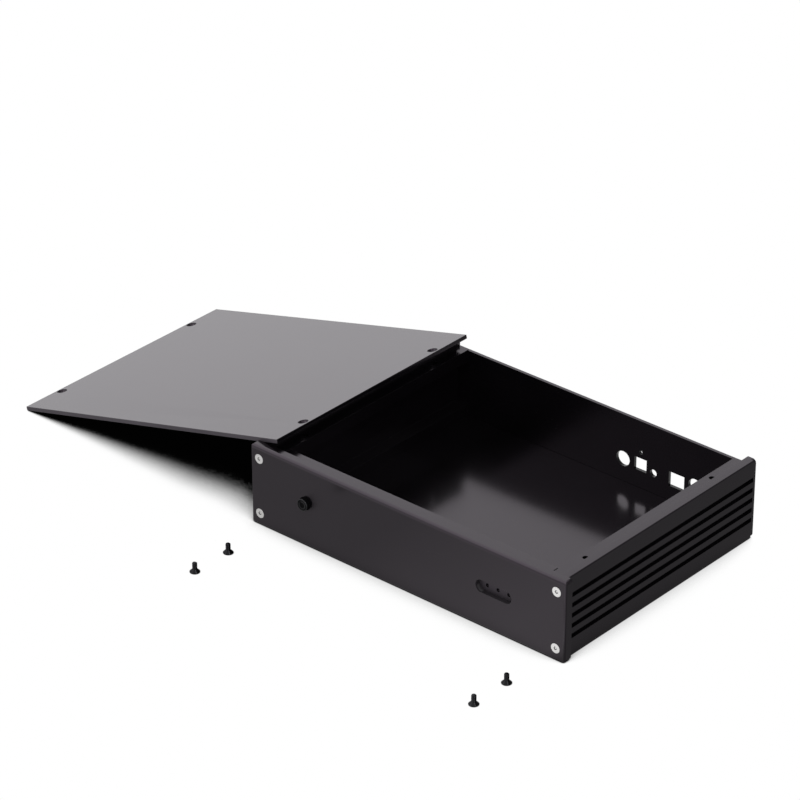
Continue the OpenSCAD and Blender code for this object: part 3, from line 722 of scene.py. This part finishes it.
# %% Every screw of the enclosure
FACE_FRONT = (math.pi / 2, 0.0, 0.0)
FACE_BACK = (-math.pi / 2, 0.0, 0.0)
FACE_DOWN = (math.pi, 0.0, 0.0)
FRONT_FACE_Y = -87.5
BACK_FACE_Y = 87.5
RAIL_BACK_Y = -72.7
RAIL_SCREW_X = (-60.0, 60.0)
LOOSE_X = (-102.05, 103.65)
LOOSE_Y = (-122.0, -149.5)
SHORT_SCREW = SCREW_SIZES["Length"]
FRONT_SCREW = 12.0
RAIL_SCREW = 11.5
end_screws = [(x, z) for x in (-END_SCREW_X, END_SCREW_X) for z in END_SCREW_Z]
front_places = [(x, FRONT_FACE_Y, z) for x, z in end_screws]
back_places = [(x, BACK_FACE_Y, z) for x, z in end_screws]
bottom_places = [(x, y, 0.0) for x in (-COVER_HOLE_X, COVER_HOLE_X) for y in COVER_HOLE_Y]
rail_places = [(x, RAIL_BACK_Y, FLANGE_MIDDLE) for x in RAIL_SCREW_X]
loose_places = [(x, y, 0.0) for x in LOOSE_X for y in LOOSE_Y]
screw_sets = {
    "front_panel_screws": (front_places, FACE_FRONT, FRONT_SCREW, bright_steel, "stainless"),
    "back_panel_screws": (back_places, FACE_BACK, SHORT_SCREW, dark_steel, "black_steel"),
    "bottom_plate_screws": (bottom_places, FACE_DOWN, SHORT_SCREW, dark_steel, "black_steel"),
    "rail_screws": (rail_places, FACE_BACK, RAIL_SCREW, dark_steel, "black_steel"),
    "loose_cover_screws": (loose_places, FACE_DOWN, SHORT_SCREW, dark_steel, "black_steel"),
}
for node, (points, turn, length, metal, slot) in screw_sets.items():
    mesh = grown_mesh(countersunk_screw, {"Turn": turn, "Length": length, "Finish": metal}, points)
    add_piece(node + "_threaded", mesh, "case", node)

# %% [markdown]
# The return spring behind the button is a wire on a helix. A Screw modifier could make it, but a Spiral curve
# with a round profile swept along it keeps the turns and the wire as named inputs.

# %% Return spring
BUTTON_X = -74.0
BUTTON_Z = 27.8
SPRING_FRONT = -82.9
SPRING_LENGTH = 13.35
SPRING_WIRE = 0.6
TURN_STEPS = 28
WIRE_STEPS = 10
wiring, start, end = new_tree(
    "coil_spring", "GeometryNodeTree",
    [("Geometry", GEOMETRY, None), ("Finish", MATERIAL, None), ("Turns", VALUE, 6.0),
     ("Coil Radius", VALUE, 3.2), ("Wire Radius", VALUE, SPRING_WIRE / 2),
     ("Rise", VALUE, SPRING_LENGTH - SPRING_WIRE)],
    [("Geometry", GEOMETRY)])
given = start.outputs
helix = wiring.add("GeometryNodeCurveSpiral", {
    "Resolution": TURN_STEPS, "Rotations": given["Turns"], "Start Radius": given["Coil Radius"],
    "End Radius": given["Coil Radius"], "Height": given["Rise"]})
wire = wiring.add("GeometryNodeCurvePrimitiveCircle", {
    "Resolution": WIRE_STEPS, "Radius": given["Wire Radius"]})
swept = wiring.add("GeometryNodeCurveToMesh", {
    "Curve": helix.outputs[0], "Profile Curve": wire.outputs[0], "Fill Caps": True})
spring_start = (BUTTON_X * MM, (SPRING_FRONT + SPRING_WIRE / 2) * MM, BUTTON_Z * MM)
laid = wiring.add("GeometryNodeTransform", {
    "Geometry": swept.outputs[0], "Rotation": FACE_BACK, "Scale": (MM, MM, MM), "Translation": spring_start})
coil_spring = close_tree(wiring, laid.outputs[0], given["Finish"], end)
coil_mesh = grown_mesh(coil_spring, {"Finish": spring_wire_steel})
spring = add_piece("button_spring_coil", coil_mesh, "case", "button_spring")
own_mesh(spring)
print("Spring box in mm:", [round(side / MM, 2) for side in spring.dimensions])

# %% [markdown]
# The power button is a small turned cap with a slightly dished face and a rounded rim, on a shaft with a stop
# collar. Stacked cylinders would leave hard steps, so a profile is spun round the axis, as on a lathe. Its
# ends lie on the axis, so they are welded afterwards. Each point is a radius and a depth behind the face.

# %% Power button
BUTTON_FACE_Y = -90.2
FACE_R = 3.8
RIM_R = 0.6
RIM_STEPS = 6
COLLAR_R = 4.8
EASE = 0.12
SPIN_STEPS = 64
RIM_FINISH = 1
FLAT_FACE = 0.995
dish = [(0.0, 0.22), (0.9, 0.20), (1.8, 0.13), (2.6, 0.04), (FACE_R - RIM_R, 0.0)]
bends = [step / RIM_STEPS * math.pi / 2 for step in range(1, RIM_STEPS + 1)]
rim = [(FACE_R - RIM_R + RIM_R * math.sin(bend), RIM_R - RIM_R * math.cos(bend)) for bend in bends]
shaft = [(FACE_R, 2.0), (FACE_R - EASE, 2.12), (FACE_R - EASE, 2.3), (FACE_R, 2.42), (FACE_R, 5.75)]
collar = [(COLLAR_R - EASE, 5.75), (COLLAR_R, 5.87), (COLLAR_R, 7.13), (COLLAR_R - EASE, 7.25), (0.0, 7.25)]
axis_point = Vector((BUTTON_X, BUTTON_FACE_Y, BUTTON_Z)) * MM
shape = bmesh.new()
profile = [shape.verts.new(axis_point + Vector((radius, depth, 0.0)) * MM)
           for radius, depth in dish + rim + shaft + collar]
edges = [shape.edges.new(pair) for pair in zip(profile, profile[1:])]
bmesh.ops.spin(shape, geom=profile + edges, cent=axis_point, axis=(0, 1, 0), angle=math.tau, steps=SPIN_STEPS)
bmesh.ops.remove_doubles(shape, verts=shape.verts, dist=WELD_MM / 2 * MM)
bmesh.ops.recalc_face_normals(shape, faces=shape.faces)
mesh = finished_mesh("power_button_cap", shape, button_black, rim_black)
for face in mesh.polygons:
    if face.center.y < (BUTTON_FACE_Y + RIM_R) * MM and face.normal.y > -FLAT_FACE:
        face.material_index = RIM_FINISH
button = add_piece("power_button_cap", mesh, "button", "power_button")
print("Button box in mm:", [round(side / MM, 2) for side in button.dimensions])

# %% [markdown]
# The switch behind the button is a moulded cup with a flange, an end cap, two brass blades and two small
# screws. They could be built again from scratch, but their solids already have the right shape, so softened
# copies and finishes of their own are enough.

# %% Switch parts
SWITCH_ROUND = 0.12
SWITCH_SHORTEST = 0.3
switch_parts = (
    ("switch_housing", switch_black, "black_plastic"),
    ("switch_end_cap", switch_black, "black_plastic"),
    ("switch_terminals", terminal_brass, "brass"),
    ("switch_screws", bright_steel, "stainless"))
for node, material, slot in switch_parts:
    shape = welded_shape(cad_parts[node].data)
    soften(shape, SWITCH_ROUND, SWITCH_SHORTEST)
    add_piece(node + "_part", finished_mesh(node + "_part", shape, material, material), "case", node)

# %% [markdown]
# The floor is plain and pale and runs to the horizon, so it is also the backdrop. The camera sees it as
# white, darkened only where the object shades it: an Ambient Occlusion node measures how much of the sky each
# point sees, and a ramp turns that into a tone. A shadow from one lamp would be too hard. On the left, beside
# the box and under the leaning cover, the shade is lifted a little, as the photograph shows it.

# %% Floor
FLOOR_HALF = 6.0
FLOOR_DROP = 0.0002
SHADE_REACH = 0.15
SHADE_SAMPLES = 32
SHADE_RAMP = ((0.20, 0.0005), (0.268, 0.0012), (0.276, 0.002), (0.285, 0.014), (0.305, 0.078),
              (0.329, 0.168), (0.575, 0.973), (0.61, 1.0))
LEFT_LIFT = 0.042
LEFT_RISE = (-0.175, -0.144)
LEFT_FALL = (-0.121, -0.113)
LIFTED_SHADE = (0.27, 0.32)
floor_corners = [(x * FLOOR_HALF, y * FLOOR_HALF, 0.0) for x, y in ((-1, -1), (1, -1), (1, 1), (-1, 1))]
floor_mesh = bpy.data.meshes.new("floor")
floor_mesh.from_pydata(floor_corners, [], [(0, 1, 2, 3)])
floor = bpy.data.objects.new("floor", floor_mesh)
floor.location.z = -FLOOR_DROP
scene.collection.objects.link(floor)
floor_white = bpy.data.materials.new("floor_white")
floor_white.use_nodes = True
floor_mesh.materials.append(floor_white)
wires = Wiring(floor_white.node_tree)
floor_white.node_tree.nodes.remove(floor_white.node_tree.nodes["Principled BSDF"])
shade = wires.add("ShaderNodeAmbientOcclusion", {"Distance": SHADE_REACH}, samples=SHADE_SAMPLES)
sky_part = shade.outputs["AO"]
place = wires.add("ShaderNodeSeparateXYZ", {"Vector": wires.add("ShaderNodeTexCoord").outputs["Object"]})
floor_x, floor_y = place.outputs["X"], place.outputs["Y"]
left_end = wires.math("MULTIPLY", wires.span(floor_x, *LEFT_RISE, 0.0, LEFT_LIFT),
                      wires.span(floor_x, *LEFT_FALL, 1.0, 0.0))
open_sky = wires.math("MULTIPLY_ADD", wires.span(sky_part, *LIFTED_SHADE, 0.0, 1.0), left_end, sky_part)
ramp = wires.add("ShaderNodeValToRGB", {"Fac": open_sky})
for element, (stop, level) in zip(ramp.color_ramp.elements, (SHADE_RAMP[0], SHADE_RAMP[-1])):
    element.position = stop
    element.color = (level, level, level, 1.0)
for stop, level in SHADE_RAMP[1:-1]:
    ramp.color_ramp.elements.new(stop).color = (level, level, level, 1.0)
print("Floor made, half width", FLOOR_HALF, "m")

# %% [markdown]
# What the black metal shows is mostly what it reflects. The floor in front is brighter to the right and
# brighter still farther forward, and the floor beside the right side is dim. Cards round the object would do
# the same in a studio. Here a reflected ray gets a level that depends on where on the floor it lands.

# %% Floor seen in reflections
FRONT_RISE = (-0.05, 0.07)
FRONT_LEVELS = (0.54, 0.84)
BESIDE_X = (0.100, 0.112)
BESIDE_Y = (-0.100, -0.086)
BESIDE_LEVEL = 0.25
FORWARD_Y = (-0.24, -0.16)
FORWARD_GAIN = 0.5
front_level = wires.span(floor_x, *FRONT_RISE, *FRONT_LEVELS)
beside = wires.math("MULTIPLY", wires.span(floor_x, *BESIDE_X, 0.0, 1.0),
                    wires.span(floor_y, *BESIDE_Y, 0.0, 1.0))
not_beside = wires.math("SUBTRACT", 1.0, beside)
near_level = wires.math("ADD", wires.math("MULTIPLY", front_level, not_beside),
                        wires.math("MULTIPLY", beside, BESIDE_LEVEL))
mirror_level = wires.math("ADD", near_level, wires.span(floor_y, *FORWARD_Y, FORWARD_GAIN, 0.0))


def white_to_camera(wires, other_level):
    """Full strength for what the camera sees, and another level for every other ray."""
    seen = wires.add("ShaderNodeLightPath").outputs["Is Camera Ray"]
    unseen = wires.math("SUBTRACT", 1.0, seen)
    return wires.math("ADD", seen, wires.math("MULTIPLY", unseen, other_level))


glow = wires.add("ShaderNodeEmission", {
    "Color": ramp.outputs["Color"], "Strength": white_to_camera(wires, mirror_level)})
wires.feed(floor_white.node_tree.nodes["Material Output"].inputs["Surface"], glow.outputs[0])
print("Floor in reflections: levels", FRONT_LEVELS, "in front and", BESIDE_LEVEL, "beside")

# %% [markdown]
# The room is a soft white tent, brightest low down behind on the left, where the leaning cover reflects it,
# and dim high up behind on the right, which keeps the right-hand edges dark. A photographed room would need a
# picture file, so two directions and how far a ray leans towards each are enough.

# %% World
ROOM_TINT = (0.99, 0.985, 1.0, 1.0)
BRIGHT_SIDE = Vector((-0.738, 0.659, 0.140)).normalized()
BRIGHT_LIMITS = (0.843, 0.995)
TENT_LEVEL = 1.0
LOW_GLOW = 1.58
DIM_SIDE = Vector((0.55, 0.62, 0.55)).normalized()
DIM_LIMITS = (0.6, 0.88)
DIM_LEVEL = 0.25
room = bpy.data.worlds.new("soft_room")
room.use_nodes = True
scene.world = room
wires = Wiring(room.node_tree)
sky = room.node_tree.nodes["Background"]
ray = wires.add("ShaderNodeTexCoord").outputs["Generated"]
low_glow = wires.add("ShaderNodeMapRange", {
    "Value": wires.facing(ray, BRIGHT_SIDE), "From Min": BRIGHT_LIMITS[0], "From Max": BRIGHT_LIMITS[1],
    "To Min": TENT_LEVEL, "To Max": LOW_GLOW}, interpolation_type="SMOOTHSTEP")
dimming = wires.span(wires.facing(ray, DIM_SIDE), *DIM_LIMITS, 1.0, DIM_LEVEL)
room_level = wires.math("MULTIPLY", low_glow.outputs[0], dimming)
wires.feed(sky.inputs["Strength"], white_to_camera(wires, room_level))
sky.inputs["Color"].default_value = ROOM_TINT
print("World made, level", TENT_LEVEL, "up to", LOW_GLOW, "and down to", DIM_LEVEL)

# %% [markdown]
# One wide soft lamp high on the left gives the rounded edges and the rims their soft highlights. A small one
# high on the right puts a thin glint on the screws' cones. Area lamps do this, because a point lamp would
# leave hard dots.

# %% Lamps
WIDE_PLACE = Vector((-1.4, -0.2, 1.7))
SMALL_PLACE = Vector((1.15, -0.35, 1.85))


def soft_box(name, place, width, height, watts):
    """A rectangular lamp that faces the object."""
    lamp_data = bpy.data.lights.new(name, "AREA")
    lamp_data.shape = "RECTANGLE"
    lamp_data.size = width
    lamp_data.size_y = height
    lamp_data.energy = watts
    lamp = bpy.data.objects.new(name, lamp_data)
    lamp.matrix_world = Matrix.Translation(place) @ place.to_track_quat("Z", "Y").to_matrix().to_4x4()
    scene.collection.objects.link(lamp)
    print(name, "of", watts, "W placed")


soft_box("wide_soft_box", WIDE_PLACE, width=3.2, height=1.2, watts=11.0)
soft_box("small_soft_box", SMALL_PLACE, width=0.35, height=0.5, watts=2.4)
scene.view_settings.view_transform = "Standard"

# %% [markdown]
# Last, a line is printed to show that the scene is built.

# %% Finish
print("Scene built")
